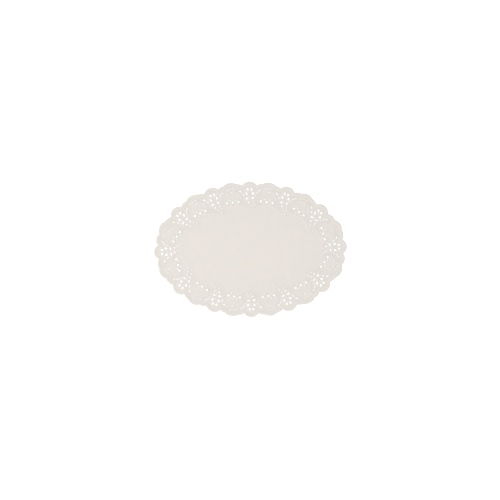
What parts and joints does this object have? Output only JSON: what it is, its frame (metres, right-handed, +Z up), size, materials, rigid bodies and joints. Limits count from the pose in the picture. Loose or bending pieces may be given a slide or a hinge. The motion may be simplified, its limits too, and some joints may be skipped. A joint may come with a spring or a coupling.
{
  "type": "oval paper lace doily",
  "caption": "Flat oval lace doily of die-cut paper, with a scalloped edge, a border of flower-like eyelets and a plain middle, to lie under a cake, plate or vase.",
  "frame": {"origin": "middle of the oval on the underside, which lies on the surface", "axes": "+X along the long way of the oval, +Y along the short way, +Z up through the thickness"},
  "size_m": [0.2538, 0.1784, 0.001],
  "materials": {
    "paper": "matt, embossed off-white paper"
  },
  "bodies": {
    "root": {"doily": "paper"}
  },
  "joints": []
}
